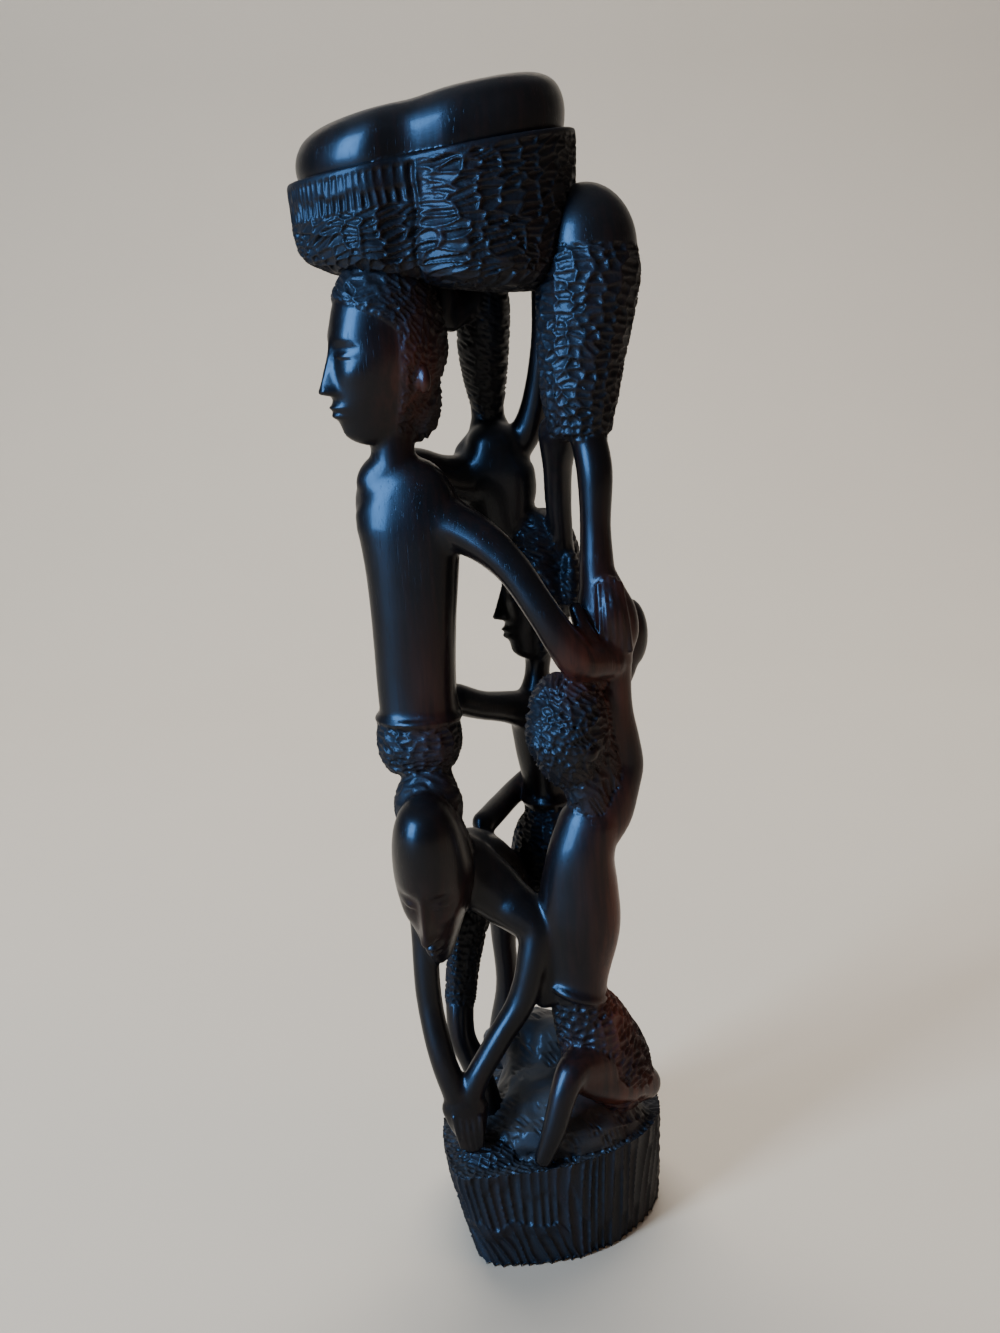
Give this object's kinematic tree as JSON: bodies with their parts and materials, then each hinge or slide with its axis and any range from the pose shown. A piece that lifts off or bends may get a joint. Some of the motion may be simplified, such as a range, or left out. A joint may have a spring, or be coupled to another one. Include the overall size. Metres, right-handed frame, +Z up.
{
  "type": "ujamaa carving",
  "caption": "Tall carved blackwood column of interlocked figures that stand, kneel and crouch on each other and hold up a basket, on an integral gouged plinth.",
  "frame": {"origin": "middle of the plinth's flat underside", "axes": "+Z up, the side with the two lower foreground figures towards -Y, the basket's deep end towards +X"},
  "size_m": [0.098, 0.0796, 0.35],
  "materials": {
    "blackwood": "polished by hand, dull in the cuts"
  },
  "bodies": {
    "root": {"carving": "blackwood"}
  },
  "joints": []
}
